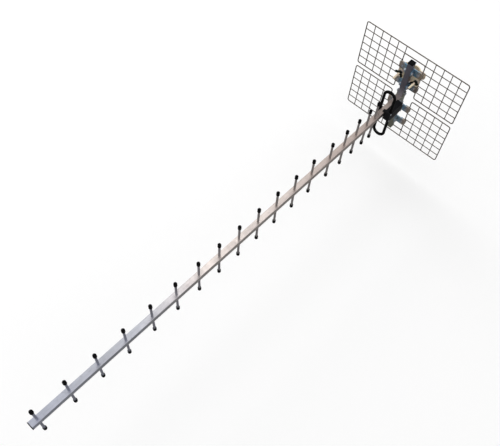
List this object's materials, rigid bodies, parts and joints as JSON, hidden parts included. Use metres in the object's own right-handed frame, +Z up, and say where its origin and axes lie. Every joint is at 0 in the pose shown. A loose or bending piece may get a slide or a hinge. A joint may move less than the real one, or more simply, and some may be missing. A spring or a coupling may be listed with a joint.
{
  "type": "yagi antenna",
  "caption": "Long directional antenna: rod elements through a square boom, a folded dipole, a two-panel wire reflector and a clamp for a vertical mast.",
  "frame": {"origin": "on the mast's axis, halfway up the clamp that holds it", "axes": "+X along the boom to its free front end, +Z up along the mast and the rod elements, +Y to the side that carries the feed housing"},
  "size_m": [1.3355, 0.337, 0.319],
  "materials": {
    "boom_alloy": "anodised satin",
    "tube_alloy": "dull drawn",
    "rod_alloy": "drawn satin",
    "joint_alloy": "dull pressed",
    "loop_alloy": "drawn satin",
    "cap_plastic": "moulded",
    "sleeve_plastic": "shrunk smooth",
    "housing_plastic": "fine grained",
    "wing_plastic": "moulded",
    "grid_wire": "zinc plated",
    "blue_zinc": "blue passivated zinc",
    "plain_zinc": "bright zinc",
    "yellow_zinc": "yellow passivated zinc",
    "board_laminate": "coated laminate",
    "terminal_brass": "plain",
    "jack_nickel": "nickel plated",
    "jack_white": "turned"
  },
  "bodies": {
    "antenna": {"balun_board": "board_laminate", "base_screws": "plain_zinc", "boom_front_plug": "cap_plastic", "boom_tube": "boom_alloy", "clamp_base": "yellow_zinc", "clamp_washers": "plain_zinc", "clip_bolts": "plain_zinc", "clip_nuts": "plain_zinc", "cover_screws": "plain_zinc", "cross_bolts": "plain_zinc", "cross_nuts": "plain_zinc", "cross_plate_lower_inner": "blue_zinc", "cross_plate_lower_outer": "blue_zinc", "cross_plate_upper_inner": "blue_zinc", "cross_plate_upper_outer": "blue_zinc", "dipole_clip": "housing_plastic", "dipole_clip_screw": "plain_zinc", "dipole_sleeve": "sleeve_plastic", "dipole_terminals": "terminal_brass", "director_01": "rod_alloy", "director_02": "rod_alloy", "director_03": "rod_alloy", "director_04": "rod_alloy", "director_05": "rod_alloy", "director_06": "rod_alloy", "director_07": "rod_alloy", "director_08": "rod_alloy", "director_09": "rod_alloy", "director_10": "rod_alloy", "director_11": "rod_alloy", "director_12": "rod_alloy", "director_13": "rod_alloy", "director_14": "rod_alloy", "director_15": "rod_alloy", "director_16": "rod_alloy", "director_17": "rod_alloy", "director_18": "rod_alloy", "director_caps_lower": "cap_plastic", "director_caps_upper": "cap_plastic", "feed_cover": "housing_plastic", "feed_housing": "housing_plastic", "folded_dipole": "loop_alloy", "housing_screws": "plain_zinc", "jack_body": "jack_nickel", "jack_contact": "terminal_brass", "jack_insulator": "jack_white", "joint_bolts": "plain_zinc", "joint_nuts": "plain_zinc", "joint_plate_left": "joint_alloy", "joint_plate_right": "joint_alloy", "mast_saddle": "yellow_zinc", "reflector_panel_lower": "grid_wire", "reflector_panel_upper": "grid_wire", "support_tube": "tube_alloy", "support_tube_cap": "cap_plastic", "wire_clips": "blue_zinc"},
    "clamp_jaw": {"rear_jaw": "yellow_zinc", "carriage_bolts": "yellow_zinc"},
    "left_nut": {"wing_nut_left": "wing_plastic"},
    "right_nut": {"wing_nut_right": "wing_plastic"}
  },
  "joints": [
    {"name": "left_nut_turn", "type": "hinge", "parent": "antenna", "child": "left_nut", "pos_m": [0.0232, -0.026, 0], "axis": [-1, 0, 0], "range_deg": [0, 4320]},
    {"name": "right_nut_turn", "type": "hinge", "parent": "antenna", "child": "right_nut", "pos_m": [0.0232, 0.026, 0], "axis": [-1, 0, 0], "range_deg": [0, 4320]},
    {"name": "jaw_slide", "type": "slide", "parent": "antenna", "child": "clamp_jaw", "axis": [1, 0, 0], "range_m": [0, 0.012]}
  ],
  "couplings": [
    {"joint": "left_nut_turn", "follows": "jaw_slide", "rad_per_m": 6283.2},
    {"joint": "right_nut_turn", "follows": "jaw_slide", "rad_per_m": 6283.2}
  ]
}
